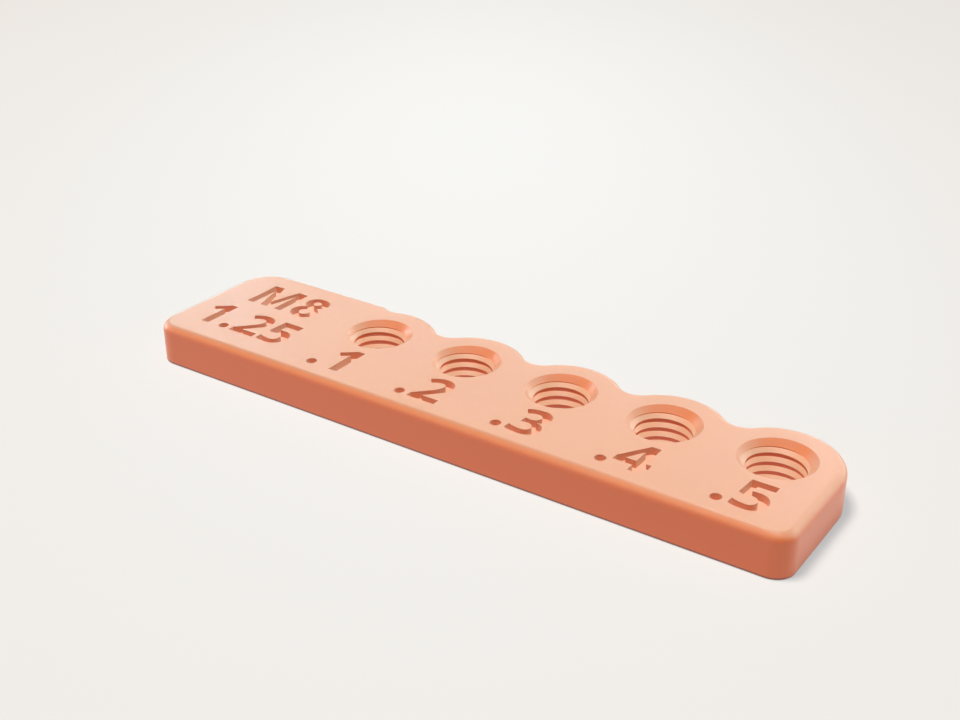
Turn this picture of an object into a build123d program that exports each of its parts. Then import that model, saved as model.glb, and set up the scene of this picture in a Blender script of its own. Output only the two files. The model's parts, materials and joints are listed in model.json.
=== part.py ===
from build123d import *

import os
from math import atan2, cos, hypot, radians, sin, sqrt

# Thread gauge strip: a flat moulded bar with a row of tapped holes along its back edge. Each hole stands in
# a round lobe of its own, and each is a little wider than the one before it. A screw of the marked size is
# tried in one hole after another until it turns freely, and the mark in front of that hole is its clearance.
# Millimetres. X runs along the strip, Y from the straight front edge to the lobed back edge, Z up.
# The origin is the centre of the strip's box on the face that it lies on.

# Row of holes
HOLE_COUNT = 5
HOLE_PITCH = 14.4
FIRST_HOLE = 28.1
HOLE_LINE = 14.8

# Screw that the gauge tests, and the clearance on the diameter that each hole adds to it
SCREW_DIAMETER = 8.0
SCREW_PITCH = 1.25
CLEARANCE_STEP = 0.1
COUNTERSINK_LAND = 0.45
COUNTERSINK_ANGLE = 45.0

# Body
THICKNESS = 5.5
LOBE_RADIUS = 7.85
VALLEY_RADIUS = 2.5
BLOCK_END = 23.3
TOP_FILLET = 1.1
FRONT_LEFT_RADIUS = 3.3
FRONT_RIGHT_RADIUS = 2.5
BACK_LEFT_RADIUS = 5.0

# Marks, sunk into the top face
MARK_DEPTH = 1.0
MARK_HEIGHT = 6.0
DOT_RADIUS = 0.7
DOT_RISE = 0.52
SMALL_MARK_BASELINE = 2.95
SMALL_DOT_SHIFT = -2.3
SMALL_DIGIT_SHIFT = -1.22
PITCH_MARK_BASELINE = 4.33
PITCH_MARK_DOT = 8.75
PITCH_MARK_DIGITS = (("1", 2.83), ("2", 9.8), ("5", 14.5))
SIZE_MARK_BASELINE = 12.87
SIZE_MARK_LETTERS = (("M", 5.72), ("8", 12.55))

# Height of the letters that the outlines below are drawn for
DRAWN_HEIGHT = 6.0

# Outlines of the marks. Each starts at a point. After it, a point is the end of a straight line, and a pair
# of points is an arc through the first to the second.
OUTLINES = {
    "1": [
        (3.47, 0), (2.2, 0), (2.2, 4.55), (1.11, 3.7), (0.5, 4.46), (2.43, 6), (3.47, 6),
    ],
    "2": [
        (4.5, 0), (0.36, 0), (0.36, 0.9), (1.84, 2.4),
        ((2.72, 3.36), (3.1, 4.31)), ((2.9, 4.82), (2.37, 5)), ((1.7, 4.84), (1.05, 4.4)),
        (0.36, 5.2), ((1.3, 5.83), (2.46, 6.06)), ((3.78, 5.62), (4.33, 4.46)),
        ((4.2, 3.68), (3.74, 2.94)), (2.7, 1.85), (1.95, 1.05), (4.5, 1.05),
    ],
    "3": [
        (4.28, 4.64), ((3.94, 3.72), (3, 3.15)), ((4.08, 2.69), (4.45, 1.75)),
        ((3.83, 0.4), (2.05, -0.06)), ((1.15, 0.02), (0.32, 0.24)), (0.32, 1.3),
        ((1.09, 1.03), (1.92, 0.92)), ((2.84, 1.14), (3.14, 1.82)), ((2.8, 2.42), (1.7, 2.6)),
        (1.24, 2.6), (1.24, 3.55), (1.71, 3.55), ((2.73, 3.75), (3.05, 4.38)),
        ((2.78, 4.88), (2.2, 5.04)), ((1.59, 4.94), (0.93, 4.62)), (0.34, 5.46),
        ((1.25, 5.93), (2.29, 6.06)), ((3.74, 5.68), (4.28, 4.64)),
    ],
    "4": [
        (4.62, 1.22), (3.9, 1.22), (3.9, 0), (2.64, 0), (2.64, 1.22), (0.12, 1.22), (0.12, 2.15),
        (2.68, 6), (3.9, 6), (3.9, 2.2), (4.62, 2.2),
    ],
    "5": [
        (4, 6), (0.76, 6), (0.53, 2.94), (1.03, 2.67), ((1.46, 2.76), (1.94, 2.8)),
        ((2.86, 2.58), (3.14, 1.9)), ((2.86, 1.18), (1.98, 0.95)), ((1.17, 1.05), (0.41, 1.34)),
        (0.41, 0.24), ((1.16, 0.02), (2.03, -0.06)), ((3.78, 0.48), (4.4, 2)),
        ((3.89, 3.33), (2.52, 3.83)), ((2.13, 3.82), (1.76, 3.75)), (1.87, 4.9), (4, 4.9),
    ],
    "8": [
        (3.22, 3.22), ((3.96, 3.8), (4.2, 4.6)), ((3.74, 5.62), (2.36, 6.06)),
        ((1, 5.66), (0.52, 4.62)), ((0.78, 3.8), (1.52, 3.22)), ((0.64, 2.56), (0.3, 1.62)),
        ((0.86, 0.42), (2.36, -0.06)), ((3.88, 0.42), (4.42, 1.62)), ((4.12, 2.56), (3.22, 3.22)),
    ],
    "M": [
        (0, 0), (0, 6), (1.68, 6), (3.07, 1.42), (4.44, 6), (6.13, 6), (6.13, 0),
        (4.96, 0), (4.96, 4.62), (3.6, 0), (2.44, 0), (1.16, 4.62), (1.16, 0),
    ],
}

# Islands that stay standing inside a mark, drawn in the same way
ISLANDS = {
    "4": [[(2.64, 2.2), (2.64, 4.5), (1.24, 2.2)]],
    "8": [
        [(2.96, 4.56), ((2.34, 5.12), (1.72, 4.56)), ((2.34, 4), (2.96, 4.56))],
        [(3.22, 1.64), ((2.38, 2.4), (1.54, 1.64)), ((2.38, 0.88), (3.22, 1.64))],
    ],
}

# Derived sizes
LAST_HOLE = FIRST_HOLE + (HOLE_COUNT - 1) * HOLE_PITCH
LENGTH = LAST_HOLE + LOBE_RADIUS
WIDTH = HOLE_LINE + LOBE_RADIUS
HOLE_PLACES = [FIRST_HOLE + number * HOLE_PITCH for number in range(HOLE_COUNT)]


def hole_radius(number):
    """Radius of a hole's wall, the root of its thread: that of the screw with half the clearance added."""
    return (SCREW_DIAMETER + CLEARANCE_STEP * (number + 1)) / 2


def arc_about(centre, radius, start, end):
    """An arc given by its centre, its radius and the angles of its two ends in radians."""
    points = [
        (centre[0] + radius * cos(angle), centre[1] + radius * sin(angle))
        for angle in (start, (start + end) / 2, end)
    ]
    return ThreePointArc(*points)


def touching_circle(first, first_radius, second, second_radius, radius):
    """Centre of the circle that touches two others from outside, on the back side of the line through them."""
    apart = hypot(second[0] - first[0], second[1] - first[1])
    reach = first_radius + radius
    along = (reach**2 - (second_radius + radius) ** 2 + apart**2) / (2 * apart)
    across = sqrt(reach**2 - along**2)
    unit = ((second[0] - first[0]) / apart, (second[1] - first[1]) / apart)
    return (
        first[0] + unit[0] * along + unit[1] * across,
        first[1] + unit[1] * along - unit[0] * across,
    )


def direction(start, end):
    """Angle of the line from one point to another, in radians."""
    return atan2(end[1] - start[1], end[0] - start[0])


def plan_outline():
    """The strip seen from above: straight front, a plain block on the left, and one lobe for each hole.

    A circle rolled along the back edge rounds the valleys between the lobes, and the last one beside the
    block's corner, which stays sharp.
    """
    centres = [(place, HOLE_LINE) for place in HOLE_PLACES]
    corner = (BLOCK_END, WIDTH)
    half_turn = radians(180)
    edges = [
        Line((FRONT_LEFT_RADIUS, 0), (LENGTH - FRONT_RIGHT_RADIUS, 0)),
        arc_about(
            (LENGTH - FRONT_RIGHT_RADIUS, FRONT_RIGHT_RADIUS),
            FRONT_RIGHT_RADIUS,
            radians(-90),
            0,
        ),
        Line((LENGTH, FRONT_RIGHT_RADIUS), (LENGTH, HOLE_LINE)),
    ]
    begin = 0.0
    for number in reversed(range(HOLE_COUNT)):
        lobe = centres[number]
        beside, beside_radius = (
            (centres[number - 1], LOBE_RADIUS) if number else (corner, 0.0)
        )
        valley = touching_circle(
            lobe, LOBE_RADIUS, beside, beside_radius, VALLEY_RADIUS
        )
        leave = direction(lobe, valley)
        arrive = direction(beside, valley)
        edges.append(arc_about(lobe, LOBE_RADIUS, begin, leave))
        edges.append(
            arc_about(valley, VALLEY_RADIUS, leave - half_turn, arrive - half_turn)
        )
        begin = arrive
    edges += [
        Line(corner, (BACK_LEFT_RADIUS, WIDTH)),
        arc_about(
            (BACK_LEFT_RADIUS, WIDTH - BACK_LEFT_RADIUS),
            BACK_LEFT_RADIUS,
            radians(90),
            radians(180),
        ),
        Line((0, WIDTH - BACK_LEFT_RADIUS), (0, FRONT_LEFT_RADIUS)),
        arc_about(
            (FRONT_LEFT_RADIUS, FRONT_LEFT_RADIUS),
            FRONT_LEFT_RADIUS,
            radians(180),
            radians(270),
        ),
    ]
    return make_face(Curve() + edges)


def body():
    """The bar without its holes and marks: the plan raised to its thickness, its upper edges rounded."""
    bar = extrude(plan_outline(), THICKNESS)
    rim = bar.faces().sort_by(Axis.Z)[-1].edges()
    return fillet(rim, TOP_FILLET)


def tapped_hole(number):
    """What one hole removes: its bore right through, and the countersink that widens its upper end."""
    radius = hole_radius(number)
    rim_radius = radius + COUNTERSINK_LAND
    depth = COUNTERSINK_LAND / sin(radians(COUNTERSINK_ANGLE)) * cos(radians(COUNTERSINK_ANGLE))
    place = (HOLE_PLACES[number], HOLE_LINE)
    through = (Align.CENTER, Align.CENTER, Align.MIN)
    below = (Align.CENTER, Align.CENTER, Align.MAX)
    bore = Pos(*place, 0) * Cylinder(radius, THICKNESS, align=through)
    countersink = Pos(*place, THICKNESS) * Cone(radius, rim_radius, depth, align=below)
    return bore + countersink


def drawn(outline):
    """A flat face inside a closed outline of straight lines and arcs, drawn at the wanted letter height."""
    scale = MARK_HEIGHT / DRAWN_HEIGHT

    def sized(point):
        return (point[0] * scale, point[1] * scale)

    here = outline[0]
    edges = []
    for step in outline[1:]:
        if isinstance(step[0], tuple):
            edges.append(ThreePointArc(sized(here), sized(step[0]), sized(step[1])))
            here = step[1]
        else:
            edges.append(Line(sized(here), sized(step)))
            here = step
    if here != outline[0]:
        edges.append(Line(sized(here), sized(outline[0])))
    return make_face(Curve() + edges)


def sunk(face, x, y):
    """A mark's flat shape, put at its place and taken down from the top face to the marks' depth."""
    return extrude(Pos(x, y, THICKNESS - MARK_DEPTH) * face, MARK_DEPTH)


def letter(name, x, baseline):
    """What one digit or letter removes from the top face."""
    face = drawn(OUTLINES[name])
    for island in ISLANDS.get(name, []):
        face -= drawn(island)
    return sunk(face, x, baseline)


def dot(x, baseline):
    """What one round decimal point removes from the top face."""
    return sunk(Circle(DOT_RADIUS), x, baseline + DOT_RISE)


def marks():
    """Every mark: the screw's size and pitch on the block, and each hole's clearance in front of it."""
    made = [letter(name, x, SIZE_MARK_BASELINE) for name, x in SIZE_MARK_LETTERS]
    made += [letter(name, x, PITCH_MARK_BASELINE) for name, x in PITCH_MARK_DIGITS]
    made.append(dot(PITCH_MARK_DOT, PITCH_MARK_BASELINE))
    for number, place in enumerate(HOLE_PLACES):
        made.append(dot(place + SMALL_DOT_SHIFT, SMALL_MARK_BASELINE))
        made.append(letter(str(number + 1), place + SMALL_DIGIT_SHIFT, SMALL_MARK_BASELINE))
    return made


def gauge_strip():
    """The whole strip, with its origin moved to the middle of the face that it lies on."""
    strip = body()
    strip -= [tapped_hole(number) for number in range(HOLE_COUNT)]
    strip -= marks()
    return Pos(-LENGTH / 2, -WIDTH / 2, 0) * strip


os.makedirs("parts", exist_ok=True)
strip = gauge_strip()
export_step(strip, "parts/gauge_strip.step")
print(f"gauge strip {LENGTH:.2f} x {WIDTH:.2f} x {THICKNESS:.2f} mm, volume {strip.volume:.1f} mm3")
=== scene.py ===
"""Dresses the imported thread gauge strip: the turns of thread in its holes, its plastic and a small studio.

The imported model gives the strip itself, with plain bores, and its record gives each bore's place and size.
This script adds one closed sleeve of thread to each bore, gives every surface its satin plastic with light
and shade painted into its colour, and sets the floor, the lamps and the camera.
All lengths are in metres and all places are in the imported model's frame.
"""

import json
import logging
import math
from dataclasses import dataclass, field
from enum import Enum
from typing import Any, Iterable, Optional, Sequence, Union

import bmesh
import bpy
import numpy as np
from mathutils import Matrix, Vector

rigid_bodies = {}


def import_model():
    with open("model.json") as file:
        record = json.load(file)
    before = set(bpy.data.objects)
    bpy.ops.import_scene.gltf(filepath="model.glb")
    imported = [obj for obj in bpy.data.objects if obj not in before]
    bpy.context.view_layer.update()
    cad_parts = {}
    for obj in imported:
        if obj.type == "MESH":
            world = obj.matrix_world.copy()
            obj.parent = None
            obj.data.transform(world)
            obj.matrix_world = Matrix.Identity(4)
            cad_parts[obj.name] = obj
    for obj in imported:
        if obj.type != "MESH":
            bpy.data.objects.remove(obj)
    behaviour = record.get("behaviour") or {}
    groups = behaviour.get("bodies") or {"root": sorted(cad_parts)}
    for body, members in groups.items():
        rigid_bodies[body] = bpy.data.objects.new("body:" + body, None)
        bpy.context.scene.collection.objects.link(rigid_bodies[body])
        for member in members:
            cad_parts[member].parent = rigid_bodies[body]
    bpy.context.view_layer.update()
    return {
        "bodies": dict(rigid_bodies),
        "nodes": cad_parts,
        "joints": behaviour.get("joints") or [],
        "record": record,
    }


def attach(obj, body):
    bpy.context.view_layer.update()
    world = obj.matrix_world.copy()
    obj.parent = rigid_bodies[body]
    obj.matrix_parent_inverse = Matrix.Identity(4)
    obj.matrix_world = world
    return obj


LOG = logging.getLogger("thread_gauge_strip")
MM = 0.001

Colour = tuple[float, float, float]
Shade = Union[Colour, bpy.types.NodeSocket]
Link = Union[float, Sequence[float], "Value", bpy.types.NodeSocket]


class Axis(Enum):
    """Directions of the strip's frame, by the names of the outputs that give them."""

    BACK = "Y"
    UP = "Z"


class Hand(Enum):
    """Which way a thread climbs as it turns anticlockwise, seen from above."""

    RIGHT = 1.0
    LEFT = -1.0


class Rays(Enum):
    """Rays that see the pale background, by the names of Light Path's outputs."""

    CAMERA = "Is Camera Ray"
    GLOSSY = "Is Glossy Ray"
    TRANSMISSION = "Is Transmission Ray"


class Lit(Enum):
    """What a lamp lights."""

    STRIP = "lit_strip"
    FLOOR = "lit_floor"


@dataclass(frozen=True)
class Value:
    """A number that changes over a surface: a socket with the arithmetic signs."""

    graph: "Graph"
    socket: bpy.types.NodeSocket

    def _maths(self, operation: str, first: Link, second: Link = 0.0) -> "Value":
        """Adds one Math node and gives its result."""
        node = self.graph.node("ShaderNodeMath", {"operation": operation}, {0: first, 1: second})
        return Value(self.graph, node.outputs[0])

    def __add__(self, other: Link) -> "Value":
        """Sum of this and another value."""
        return self._maths("ADD", self, other)

    def __radd__(self, other: Link) -> "Value":
        """Sum of another value and this."""
        return self._maths("ADD", other, self)

    def __sub__(self, other: Link) -> "Value":
        """This value less another."""
        return self._maths("SUBTRACT", self, other)

    def __rsub__(self, other: Link) -> "Value":
        """Another value less this."""
        return self._maths("SUBTRACT", other, self)

    def __mul__(self, other: Link) -> "Value":
        """Product of this and another value."""
        return self._maths("MULTIPLY", self, other)

    def __rmul__(self, other: Link) -> "Value":
        """Product of another value and this."""
        return self._maths("MULTIPLY", other, self)

    def __truediv__(self, other: Link) -> "Value":
        """This value divided by another."""
        return self._maths("DIVIDE", self, other)

    def __rtruediv__(self, other: Link) -> "Value":
        """Another value divided by this."""
        return self._maths("DIVIDE", other, self)

    def __abs__(self) -> "Value":
        """This value without its sign."""
        return self._maths("ABSOLUTE", self)

    def clamped(self) -> "Value":
        """This value, kept between 0 and 1."""
        return self._maths("MINIMUM", self._maths("MAXIMUM", self, 0.0), 1.0)

    def share(self, starts: float, full: float) -> "Value":
        """Share that goes in a straight line from 0, where this value is starts, to 1, where it is full."""
        return ((self - starts) / (full - starts)).clamped()


@dataclass(frozen=True)
class Graph:
    """The node tree of one material or of the world."""

    tree: bpy.types.NodeTree

    @classmethod
    def of_material(cls, name: str) -> tuple["Graph", bpy.types.Material]:
        """Makes a material with an empty node tree.

        Args:
            name: the material's name.

        Returns:
            The tree's graph, and the material.
        """
        material = bpy.data.materials.new(name)
        material.use_nodes = True
        material.node_tree.nodes.clear()
        return cls(material.node_tree), material

    def node(
        self,
        kind: str,
        settings: Optional[dict[str, Any]] = None,
        inputs: Optional[dict[Union[int, str], Link]] = None,
    ) -> bpy.types.Node:
        """Adds a node of any kind.

        Args:
            kind: Blender's name for the type of node.
            settings: the node's own settings, which are set first.
            inputs: the values or the links of its sockets, by index or by name.

        Returns:
            The node.
        """
        made = self.tree.nodes.new(kind)
        for name, setting in (settings or {}).items():
            setattr(made, name, setting)
        for key, given in (inputs or {}).items():
            source = given.socket if isinstance(given, Value) else given
            if isinstance(source, bpy.types.NodeSocket):
                self.tree.links.new(source, made.inputs[key])
            else:
                made.inputs[key].default_value = source
        return made

    def value(self, socket: bpy.types.NodeSocket) -> Value:
        """Wraps a socket for shader maths."""
        return Value(self, socket)

    def along(self, vector: bpy.types.NodeSocket, axis: Axis) -> Value:
        """How far a vector reaches along one axis."""
        return self.value(self.node("ShaderNodeSeparateXYZ", inputs={0: vector}).outputs[axis.value])

    def place(self) -> bpy.types.NodeSocket:
        """The shaded point in the piece's own Object coordinates."""
        return self.node("ShaderNodeTexCoord").outputs["Object"]

    def height(self) -> Value:
        """Height of the shaded point over the strip's underside."""
        return self.along(self.place(), Axis.UP)

    def facing(self, axis: Axis) -> Value:
        """How far the piece's own normal points along one axis, from -1 to 1."""
        return self.along(self.node("ShaderNodeTexCoord").outputs["Normal"], axis)

    def slope(self) -> Value:
        """Size of the height of the piece's own normal: 0 on an upright wall, 1 on a level face."""
        return abs(self.facing(Axis.UP))

    def length(self, place: bpy.types.NodeSocket) -> Value:
        """Distance of a point from the middle of its coordinates."""
        made = self.node("ShaderNodeVectorMath", {"operation": "LENGTH"}, {0: place})
        return self.value(made.outputs["Value"])

    def noise(self, size: float, layers: float, keeps: float = 0.55) -> Value:
        """Soft random mottling in Object coordinates.

        Args:
            size: about how wide one spot is, in metres.
            layers: how many finer layers it has.
            keeps: how strong each finer layer is, as a share of the one before it.

        Returns:
            A value that wanders round 0.5.
        """
        made = self.node(
            "ShaderNodeTexNoise",
            {"noise_dimensions": "3D"},
            {"Vector": self.place(), "Scale": 1.0 / size, "Detail": layers, "Roughness": keeps},
        )
        return self.value(made.outputs[0])

    def blend(self, share: Value, low: Shade, high: Shade) -> bpy.types.NodeSocket:
        """Mixes two colours.

        Args:
            share: 0 for the low colour, 1 for the high one.
            low: the low colour or its socket.
            high: the high colour or its socket.

        Returns:
            The mixed colour's socket.
        """
        ends = [end if isinstance(end, bpy.types.NodeSocket) else (*end, 1.0) for end in (low, high)]
        made = self.node("ShaderNodeMix", {"data_type": "RGBA"}, {0: share, 6: ends[0], 7: ends[1]})
        return made.outputs[2]

    def sees_background(self) -> Value:
        """1 on the rays that see the pale background, and 0 on those that carry light."""
        path = self.node("ShaderNodeLightPath")
        camera, glossy, transmission = (self.value(path.outputs[ray.value]) for ray in Rays)
        return (camera + glossy + transmission).clamped()


@dataclass(frozen=True)
class SatinPlastic:
    """Smooth orange plastic with a satin surface, as it comes out of a mould or off a fine printer."""

    name: str
    low_colour: Colour = (0.568, 0.226, 0.092)
    high_colour: Colour = (0.592, 0.238, 0.098)
    roughness: float = 0.40
    roughness_spread: float = 0.05
    refraction: float = 1.5
    coat: float = 0.30
    coat_roughness: float = 0.18
    mottle_size: float = 9.0 * MM
    mottle_layers: float = 2.0
    grain_size: float = 0.22 * MM
    grain_layers: float = 1.0
    grain_depth: float = 0.0012 * MM
    front_starts: float = -0.15
    front_full: float = -0.65

    def front(self, graph: Graph) -> Value:
        """How much a surface faces the strip's front: 0 up to 9 degrees from sideways, and 1 from 41 on."""
        return graph.facing(Axis.BACK).share(self.front_starts, self.front_full)

    def colour(self, graph: Graph, mottle: Value) -> bpy.types.NodeSocket:
        """The plastic's colour, which wanders between its low and its high colour as the mottling does."""
        return graph.blend(mottle, self.low_colour, self.high_colour)

    def material(self) -> bpy.types.Material:
        """Makes the plastic: faint mottling in colour and gloss, and a very fine moulded grain.

        Returns:
            The material.
        """
        graph, material = Graph.of_material(self.name)
        mottle = graph.noise(self.mottle_size, self.mottle_layers)
        grain = graph.noise(self.grain_size, self.grain_layers)
        bump = graph.node(
            "ShaderNodeBump",
            inputs={"Height": grain, "Distance": self.grain_depth, "Strength": 1.0},
        )
        shader = graph.node(
            "ShaderNodeBsdfPrincipled",
            inputs={
                "Base Color": self.colour(graph, mottle),
                "Roughness": self.roughness + (mottle - 0.5) * self.roughness_spread,
                "IOR": self.refraction,
                "Coat Weight": self.coat,
                "Coat Roughness": self.coat_roughness,
                "Normal": bump.outputs["Normal"],
            },
        )
        graph.node("ShaderNodeOutputMaterial", inputs={"Surface": shader.outputs[0]})
        return material


@dataclass(frozen=True)
class StripPlasticWithPaintedShading(SatinPlastic):
    """The plastic of the strip itself, with light and shade painted into its colour: painted shade makes it
    deeper on its walls, painted shading makes it deeper on its rounded edges, and painted light makes it
    paler inside its marks.

    Each place has two painted colours, one where it faces the front and one where it faces the sides or the
    back.
    A painted contact shadow runs as a thin dark line along the foot of the front wall.
    """

    name: str = "strip_orange_plastic_painted_shading"
    # Painted shading of the rounded edges: deep facing the front, a painted highlight facing the sides
    front_edge_painted_shading: Colour = (0.712, 0.213, 0.064)
    side_edge_painted_highlight: Colour = (0.585, 0.258, 0.124)
    edge_gain: float = 13.0
    # Painted shade on the upright walls, facing the front and facing the sides
    front_wall_painted_shade: Colour = (0.655, 0.143, 0.047)
    side_wall_painted_shade: Colour = (0.650, 0.163, 0.058)
    wall_starts: float = 0.69
    wall_full: float = 0.31
    # Painted light on the upright walls inside the sunk marks
    front_mark_painted_light: Colour = (0.600, 0.222, 0.122)
    side_mark_painted_light: Colour = (0.535, 0.280, 0.178)
    mark_starts: float = 4.50 * MM
    mark_full: float = 4.54 * MM
    mark_upright: float = 0.92
    # Painted contact shadow: a thin dark line along the foot of the front wall
    foot_painted_shadow: Colour = (0.27, 0.072, 0.042)
    foot_starts: float = 0.24 * MM
    foot_full: float = 0.16 * MM

    def colour(self, graph: Graph, mottle: Value) -> bpy.types.NodeSocket:
        """The plastic's colour with painted light and shade, by which way the surface faces and how low it
        lies.

        The rounded edges and the countersinks lie between upright and level, so the share of their painted
        shading is the edge gain times slope (1 - slope), kept under 1. The share of the walls' painted shade
        grows in a straight line as the slope falls. The walls of the sunk marks, which get painted light, are
        the only ones that stand quite upright above the foot of the rounded edge. The share of the foot's
        painted contact shadow grows downwards, on the walls that face the front.

        Args:
            graph: the material's graph.
            mottle: the mottling, round 0.5.

        Returns:
            The colour's socket.
        """
        height = graph.height()
        slope = graph.slope()
        upright = 1.0 - slope
        front = self.front(graph)
        edge = (self.edge_gain * slope * upright).clamped()
        wall = slope.share(self.wall_starts, self.wall_full)
        mark = height.share(self.mark_starts, self.mark_full) * upright.share(self.mark_upright, 1.0)
        foot = front * height.share(self.foot_starts, self.foot_full)
        colour = super().colour(graph, mottle)
        # Painted shading on the edges, painted shade on the walls and painted light in the marks, front and
        # side
        for share, side_painted_shading, front_painted_shading in (
            (edge, self.side_edge_painted_highlight, self.front_edge_painted_shading),
            (wall, self.side_wall_painted_shade, self.front_wall_painted_shade),
            (mark, self.side_mark_painted_light, self.front_mark_painted_light),
        ):
            colour = graph.blend(share, colour, graph.blend(front, side_painted_shading, front_painted_shading))
        # The painted contact shadow along the foot of the front wall
        return graph.blend(foot, colour, self.foot_painted_shadow)


@dataclass(frozen=True)
class ThreadPlasticWithPaintedShading(SatinPlastic):
    """The same plastic in the threads, with light and shade painted into its colour: painted shade makes it
    deep on the crest flats, and painted light makes it pale on the flanks.

    The flanks' painted light is strongest high up at the back of a hole, where they face the strip's front.
    """

    name: str = "threaded_orange_plastic_painted_shading"
    coat: float = 0.15
    # Painted shading on the countersink: deep facing the front, a painted highlight facing the sides
    cone_painted_shading: Colour = (0.712, 0.213, 0.064)
    side_painted_shading: Colour = (0.585, 0.258, 0.124)
    # Painted shade on the crest flats; painted light on the flanks, strongest high up at the back
    upright_painted_shade: Colour = (0.50, 0.090, 0.028)
    flank_painted_light: Colour = (0.555, 0.312, 0.178)
    high_flank_painted_light: Colour = (0.685, 0.375, 0.218)
    pale_starts: float = 2.9 * MM
    pale_full: float = 4.1 * MM
    upright_slope: float = 0.30
    cone_slope: float = 0.707
    flank_slope: float = 0.83

    def colour(self, graph: Graph, mottle: Value) -> bpy.types.NodeSocket:
        """The plastic's colour with painted light and shade, by how far the surface leans: crest flat, then
        countersink, then flank.

        The slope is the size of the normal's height: 0 on an upright wall, 0.7 in the countersink and 0.87
        on a flank. Between two of them the share grows in a straight line.

        Args:
            graph: the material's graph.
            mottle: the mottling, which shows only in the gloss here.

        Returns:
            The colour's socket.
        """
        slope = graph.slope()
        front = self.front(graph)
        lying = slope.share(self.upright_slope, self.cone_slope)
        leaning = slope.share(self.cone_slope, self.flank_slope)
        high = graph.height().share(self.pale_starts, self.pale_full)
        # Painted shading of the countersink, painted light on the flanks and painted shade on the crest flats
        cone = graph.blend(front, self.side_painted_shading, self.cone_painted_shading)
        flank = graph.blend(high * front, self.flank_painted_light, self.high_flank_painted_light)
        return graph.blend(leaning, graph.blend(lying, self.upright_painted_shade, cone), flank)


@dataclass(frozen=True)
class ThreadForm:
    """The section of an internal thread: flats at its crests and roots, and two straight flanks between."""

    pitch: float = 1.25 * MM
    crest_share: float = 0.31
    root_share: float = 0.08
    screw_diameter: float = 8.0 * MM
    crest_diameter: float = 6.647 * MM
    hand: Hand = Hand.RIGHT

    @property
    def flank_share(self) -> float:
        """Share of the pitch that one flank takes."""
        return (1.0 - self.crest_share - self.root_share) / 2

    def corners(self) -> np.ndarray:
        """Heights of the section's four corners within one turn, from the foot of the crest flat up."""
        ends = [0.0, self.crest_share, self.crest_share + self.flank_share, 1.0 - self.flank_share]
        return self.pitch * np.array(ends)

    def radius(self, height: np.ndarray, crest: float, root: float) -> np.ndarray:
        """Radius of the thread's surface.

        The height within a turn is measured from the middle of the crest flat, as a distance from 0 to half
        a pitch, because the section is the same on both sides of it. Within half the crest flat the radius
        is the crest's. It then grows in a straight line along the flank, and stays at the root's on its flat.

        Args:
            height: height above the helix on which the foot of the crest flat lies.
            crest: radius at the crest.
            root: radius at the root.

        Returns:
            The radius at each height.
        """
        middle = self.crest_share * self.pitch / 2
        beyond = np.abs((height - middle + self.pitch / 2) % self.pitch - self.pitch / 2) - middle
        return crest + (root - crest) * np.clip(beyond / (self.flank_share * self.pitch), 0.0, 1.0)


@dataclass(frozen=True)
class TappedHole:
    """One hole of the strip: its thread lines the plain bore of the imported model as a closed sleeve."""

    name: str
    x: float
    y: float
    bore_radius: float
    bore_top: float
    form: ThreadForm
    first_crest_depth: float = 1.04 * MM
    far_side: float = 0.25
    wall_gap: float = 0.03 * MM
    skin: float = 0.03 * MM
    columns: int = 240

    def build(self) -> bpy.types.Object:
        """Makes the sleeve, with its place in its mesh."""
        return welded_surface(self.name, self.sleeve_grid())

    def corner_lines(self, foot: float, lift: np.ndarray) -> np.ndarray:
        """Heights of the section's corners as they climb round the hole, cut off at the bore's two ends.

        Args:
            foot: height at which the foot of one crest flat starts its turn.
            lift: how far the thread has climbed at each column.

        Returns:
            An array of corners by columns, from the lowest corner up.
        """
        pitch = self.form.pitch
        lowest = math.floor((-foot - pitch) / pitch) - 1
        highest = math.ceil((self.bore_top - foot + pitch) / pitch) + 1
        turns = foot + pitch * np.arange(lowest, highest)
        corner = (turns[:, None] + self.form.corners()).reshape(-1, 1)
        return np.clip(corner + lift, 0.0, self.bore_top)

    def sleeve_grid(self) -> np.ndarray:
        """Points of the sleeve, as rows round the section by columns round the hole.

        A row is a line along the thread: its height is the turn's share of the pitch plus the row's own
        height, cut off at the sleeve's two ends. Its radius is the thread's or the countersink's, whichever
        is larger. Between two corners of the section both are straight, so one more row, where they cross,
        makes the edge between them sharp. The last three rows lead back down, inside the bore's wall.

        Returns:
            An array of rows by columns by three.
        """
        crest = self.form.crest_diameter / 2 + self.bore_radius - self.form.screw_diameter / 2
        turn = np.linspace(0.0, 1.0, self.columns + 1)
        lift = self.form.hand.value * self.form.pitch * turn
        # At the far side of the hole, the upper edge of a crest flat lies at its depth under the bore's top
        climbed = self.form.pitch * (self.far_side + self.form.crest_share)
        foot = self.bore_top - self.first_crest_depth - climbed

        def thread(height: np.ndarray) -> np.ndarray:
            """Radius of the thread alone at each height of each column."""
            return self.form.radius(height - lift - foot, crest, self.bore_radius - self.wall_gap)

        def sunk(height: np.ndarray) -> np.ndarray:
            """Radius of the countersink alone: it narrows by as much as it goes down."""
            return self.bore_radius - (self.bore_top - height)

        corner = self.corner_lines(foot, lift)
        over = thread(corner) - sunk(corner)
        low, high = over[:-1], over[1:]
        crossing = np.where(low * high < 0, low / np.where(low == high, 1.0, low - high), 0.5)
        height = np.empty((2 * len(corner) - 1, len(turn)))
        height[0::2] = corner
        height[1::2] = corner[:-1] + crossing * (corner[1:] - corner[:-1])
        radius = np.maximum(thread(height), sunk(height))
        ends = np.ones(len(turn))
        buried = self.bore_radius + self.skin
        height = np.vstack([height, (self.bore_top - self.skin) * ends, self.skin * ends, 0.0 * ends])
        radius = np.vstack([radius, buried * ends, buried * ends, self.bore_radius * ends])
        angle = 2 * np.pi * turn
        return np.stack([self.x + radius * np.cos(angle), self.y + radius * np.sin(angle), height], axis=-1)


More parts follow.
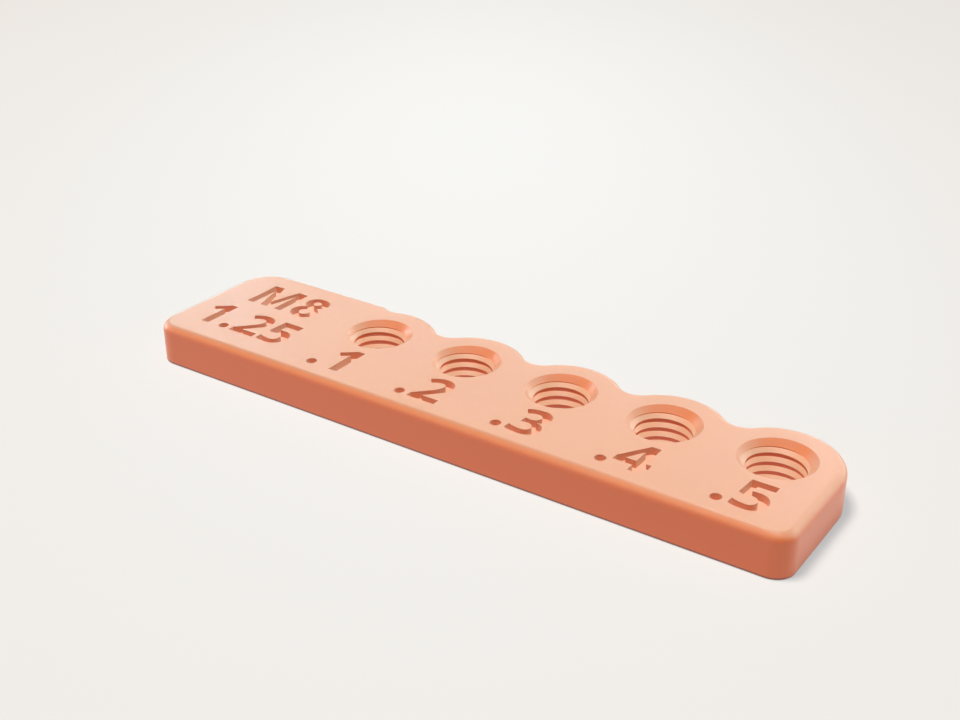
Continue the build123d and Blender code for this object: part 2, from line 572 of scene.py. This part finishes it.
def welded_surface(
    name: str,
    grid: np.ndarray,
    sharp_degrees: float = 11.0,
    weld: float = 0.0004 * MM,
    shortest: float = 0.0002 * MM,
) -> bpy.types.Object:
    """Makes a closed mesh from a grid whose rows and columns both run round and meet themselves.

    Each square of the grid is one face, and the last row joins the first. Points that fall together, at the
    seam and where rows are cut off, are merged, and the faces that vanish with them are removed.

    Args:
        name: the piece's name.
        grid: rows by columns by three, in metres.
        sharp_degrees: a fold steeper than this stays a sharp edge.
        weld: points nearer to each other than this become one.
        shortest: edges shorter than this vanish.

    Returns:
        The piece's object, at the origin.
    """
    rows, columns = grid.shape[:2]
    number = np.arange(rows * columns).reshape(rows, columns)
    following = np.roll(number, -1, axis=0)
    faces = np.stack(
        [number[:, :-1], number[:, 1:], following[:, 1:], following[:, :-1]],
        axis=-1,
    ).reshape(-1, 4)
    mesh = bpy.data.meshes.new(name)
    mesh.from_pydata(grid.reshape(-1, 3).tolist(), [], faces.tolist())
    work = bmesh.new()
    work.from_mesh(mesh)
    bmesh.ops.remove_doubles(work, verts=work.verts, dist=weld)
    bmesh.ops.dissolve_degenerate(work, edges=work.edges, dist=shortest)
    bmesh.ops.triangulate(work, faces=[face for face in work.faces if len(face.verts) > 3])
    bmesh.ops.recalc_face_normals(work, faces=work.faces)
    work.to_mesh(mesh)
    work.free()
    mesh.polygons.foreach_set("use_smooth", np.ones(len(mesh.polygons), dtype=bool))
    mesh.set_sharp_from_angle(angle=math.radians(sharp_degrees))
    piece = bpy.data.objects.new(name, mesh)
    bpy.context.scene.collection.objects.link(piece)
    return piece


@dataclass
class GaugeStrip:
    """The strip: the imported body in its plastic, and the thread in each of its holes."""

    node: str = "gauge_strip"
    slot: str = "orange_plastic"
    mount_kind: str = "threaded_hole"
    finish: StripPlasticWithPaintedShading = field(default_factory=StripPlasticWithPaintedShading)
    thread_finish: ThreadPlasticWithPaintedShading = field(default_factory=ThreadPlasticWithPaintedShading)
    form: ThreadForm = field(default_factory=ThreadForm)

    def holes(self, mounts: Iterable[dict[str, Any]]) -> Iterable[TappedHole]:
        """The strip's holes from left to right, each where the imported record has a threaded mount.

        Args:
            mounts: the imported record's mounts. A mount's place is the middle of its bore.

        Returns:
            The holes, one after another.
        """
        threaded = (mount for mount in mounts if mount["kind"] == self.mount_kind)
        for number, mount in enumerate(threaded, start=1):
            x, y, middle = mount["pos_m"]
            yield TappedHole(
                name=f"thread_0_{number}",
                x=x,
                y=y,
                bore_radius=mount["dims"]["r_mm"] * MM,
                bore_top=middle + mount["dims"]["length_mm"] * MM / 2,
                form=self.form,
            )

    def build(self, frame: dict[str, Any]) -> list[bpy.types.Object]:
        """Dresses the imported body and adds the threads.

        Args:
            frame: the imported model, as it was loaded.

        Returns:
            The body, and then the threads.
        """
        body = frame["nodes"][self.node]
        body.data.materials.clear()
        body.data.materials.append(self.finish.material())
        LOG.info("%s: dressed", body.name)
        pieces = [body]
        threaded = self.thread_finish.material()
        for hole in self.holes(frame["record"]["mounts"]):
            piece = hole.build()
            piece.data.materials.append(threaded)
            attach(piece, "root")
            LOG.info("%s: %d faces", piece.name, len(piece.data.polygons))
            pieces.append(piece)
        return pieces


@dataclass(frozen=True)
class Softbox:
    """A square area lamp that faces the strip."""

    name: str
    lights: Lit
    azimuth: float
    elevation: float
    level: float
    colour: Colour = (1.0, 1.0, 1.0)
    size: float = 0.45
    distance: float = 1.0
    casts_shadows: bool = False
    gloss_only: bool = False

    def build(self, receivers: dict[Lit, bpy.types.Collection]) -> None:
        """Makes the lamp.

        Its azimuth turns anticlockwise from the strip's right end, and its elevation is its height over the
        floor, both in degrees. A white card that faces the lamp from the strip's place is lit to the lamp's
        level, where 1 is white. A flat lamp of power P gives it P / (pi squared times the distance squared).

        Args:
            receivers: the objects that each kind of lamp lights.
        """
        data = bpy.data.lights.new(self.name, "AREA")
        data.shape = "SQUARE"
        data.size = self.size
        data.energy = self.level * (math.pi * self.distance) ** 2
        data.color = self.colour
        data.use_shadow = self.casts_shadows
        # Without this, a gloss that is worked out by following a ray still finds the lamp hidden
        data.cycles.use_multiple_importance_sampling = self.casts_shadows
        lamp = bpy.data.objects.new(self.name, data)
        turn, rise = math.radians(self.azimuth), math.radians(self.elevation)
        away = Vector((math.cos(rise) * math.cos(turn), math.cos(rise) * math.sin(turn), math.sin(rise)))
        lamp.location = away * self.distance
        lamp.rotation_mode = "QUATERNION"
        lamp.rotation_quaternion = (-away).to_track_quat("-Z", "Y")
        lamp.light_linking.receiver_collection = receivers[self.lights]
        lamp.visible_diffuse = not self.gloss_only
        bpy.context.scene.collection.objects.link(lamp)
        LOG.info("lamp %s", self.name)


FLOOR_LAMPS = (
    Softbox(
        "floor_key",
        Lit.FLOOR,
        221,
        74.8,
        2.01,
        (1.08, 1.0, 0.93),
        size=0.88,
        distance=3.0,
        casts_shadows=True,
    ),
    Softbox("floor_fill", Lit.FLOOR, 0, 90, 0.93, (0.84, 1.0, 1.14), size=1.20, distance=3.0),
)
STRIP_LAMPS = (
    Softbox("overhead", Lit.STRIP, 0, 90, 0.29, (1.08, 1.0, 0.92)),
    Softbox("high_front", Lit.STRIP, 270, 65, 0.34, size=1.00),
    Softbox("front_left", Lit.STRIP, 245, 32, 0.47, (1.0, 0.80, 0.80), size=1.50),
    Softbox("left_low", Lit.STRIP, 180, 12, 0.42, (0.92, 1.0, 1.04)),
    Softbox("back_left", Lit.STRIP, 123, 28, 0.34, (0.76, 1.0, 1.04), size=0.80),
    Softbox("far_left", Lit.STRIP, 146, 20, 0.05, (0.20, 0.85, 1.10), size=0.35, gloss_only=True),
    Softbox("glint", Lit.STRIP, 114, 58, 0.22, size=0.26, gloss_only=True),
    Softbox("back", Lit.STRIP, 88, 20, 0.20, size=0.60),
    Softbox("right_back", Lit.STRIP, 50, 20, 0.64, size=1.20),
    Softbox("right_mid", Lit.STRIP, 10, 50, 0.26, size=0.90),
)


@dataclass
class Studio:
    """A pale floor with a painted pool of light that fades to a pale background, and soft lamps."""

    floor_radius: float = 3.0
    floor_corners: int = 96
    floor_drop: float = 0.10 * MM
    # Painted pool of light on the floor: bright in its middle, dim towards its edge
    bright: Colour = (0.948, 0.945, 0.926)
    dim: Colour = (0.812, 0.764, 0.716)
    floor_grey: float = 0.35
    floor_glow: float = 0.35
    fade_centre: tuple[float, float] = (-0.067, 0.100)
    fade_reach: tuple[float, float] = (0.096, 0.200)
    fade_turn: float = 34.5
    far_starts: float = 0.35
    far_full: float = 1.05
    sky_colour: Colour = (1.0, 1.0, 1.0)
    sky_level: float = 0.03
    softboxes: tuple[Softbox, ...] = FLOOR_LAMPS + STRIP_LAMPS

    def build(self, strip: Iterable[bpy.types.Object]) -> None:
        """Makes the floor, the world and the lamps.

        Args:
            strip: the objects that the strip's lamps light.
        """
        receivers = {lit: bpy.data.collections.new(lit.value) for lit in Lit}
        for piece in strip:
            receivers[Lit.STRIP].objects.link(piece)
        receivers[Lit.FLOOR].objects.link(self._floor())
        self._world()
        for softbox in self.softboxes:
            softbox.build(receivers)

    def _floor(self) -> bpy.types.Object:
        """Makes the floor: a disc of equal corners, a hair under the strip's underside.

        Returns:
            The floor's object.
        """
        angle = np.linspace(0.0, 2 * np.pi, self.floor_corners, endpoint=False)
        ring = self.floor_radius * np.stack([np.cos(angle), np.sin(angle)], axis=-1)
        points = np.column_stack([ring, np.full(self.floor_corners, -self.floor_drop)])
        mesh = bpy.data.meshes.new("floor")
        mesh.from_pydata(points.tolist(), [], [list(range(self.floor_corners))])
        mesh.materials.append(self._floor_finish())
        floor = bpy.data.objects.new("floor", mesh)
        bpy.context.scene.collection.objects.link(floor)
        return floor

    def _floor_finish(self) -> bpy.types.Material:
        """Makes the floor's material, whose paleness is a painted pool of light that falls off from a bright
        middle.

        The share of the dim colour is 1 - 1 / (1 + r squared). The distance r from the middle is measured in
        a space that is turned and stretched, so that the fade is an ellipse. Part of the floor's colour is
        lit, and part is only seen. Far from the strip all of it is only seen, as the background is, so that
        no edge shows between the two.

        Returns:
            The material.
        """
        graph, material = Graph.of_material("pale_floor")
        ellipse = graph.node(
            "ShaderNodeMapping",
            {"vector_type": "TEXTURE"},
            {
                "Vector": graph.place(),
                "Location": (*self.fade_centre, -self.floor_drop),
                "Rotation": (0.0, 0.0, math.radians(self.fade_turn)),
                "Scale": (*self.fade_reach, 1.0),
            },
        )
        reach = graph.length(ellipse.outputs[0])
        share = 1.0 - 1.0 / (reach * reach + 1.0)
        colour = graph.blend(share, self.bright, self.dim)
        greys = (tuple(self.floor_grey * part for part in shade) for shade in (self.bright, self.dim))
        lit = graph.node("ShaderNodeBsdfDiffuse", inputs={"Color": graph.blend(share, *greys)})
        seen = graph.node("ShaderNodeEmission", inputs={"Color": colour, "Strength": 1.0})
        far = graph.length(graph.place()).share(self.far_starts, self.far_full)
        glow = (self.floor_glow + (1.0 - self.floor_glow) * far) * graph.sees_background()
        shader = graph.node("ShaderNodeMixShader", inputs={0: glow, 1: lit.outputs[0], 2: seen.outputs[0]})
        graph.node("ShaderNodeOutputMaterial", inputs={"Surface": shader.outputs[0]})
        return material

    def _world(self) -> None:
        """Makes the world: an even sky that lights the strip, behind a pale background that is only seen."""
        world = bpy.data.worlds.new("studio")
        bpy.context.scene.world = world
        world.use_nodes = True
        world.node_tree.nodes.clear()
        graph = Graph(world.node_tree)
        sky = graph.node(
            "ShaderNodeBackground",
            inputs={"Color": (*self.sky_colour, 1.0), "Strength": self.sky_level},
        )
        pale = graph.node("ShaderNodeBackground", inputs={"Color": (*self.dim, 1.0), "Strength": 1.0})
        shader = graph.node(
            "ShaderNodeMixShader",
            inputs={0: graph.sees_background(), 1: sky.outputs[0], 2: pale.outputs[0]},
        )
        graph.node("ShaderNodeOutputWorld", inputs={"Surface": shader.outputs[0]})


@dataclass(frozen=True)
class StudioCamera:
    """The camera, at the photograph's viewing angle."""

    place: tuple[float, float, float] = (85.32 * MM, -124.02 * MM, 84.555 * MM)
    looks: tuple[float, float, float] = (-0.5048, 0.7356, -0.4518)
    lens: float = 50.385
    sensor_width: float = 36.0
    nearest: float = 1.0 * MM
    farthest: float = 20.0

    def build(self) -> None:
        """Makes the camera and gives it to the scene."""
        data = bpy.data.cameras.new("camera")
        data.sensor_fit = "HORIZONTAL"
        data.sensor_width = self.sensor_width
        data.lens = self.lens
        data.clip_start = self.nearest
        data.clip_end = self.farthest
        camera = bpy.data.objects.new("camera", data)
        camera.location = self.place
        camera.rotation_mode = "QUATERNION"
        camera.rotation_quaternion = Vector(self.looks).to_track_quat("-Z", "Y")
        bpy.context.scene.collection.objects.link(camera)
        bpy.context.scene.camera = camera


def main() -> None:
    """Builds the camera, the strip and the studio in that order."""
    logging.basicConfig(level=logging.INFO, format="%(message)s")
    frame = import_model()
    bpy.context.scene.view_settings.view_transform = "Standard"
    StudioCamera().build()
    strip = GaugeStrip().build(frame)
    LOG.info("strip dressed, in %d pieces", len(strip))
    Studio().build(strip)


if __name__ == "__main__":
    main()
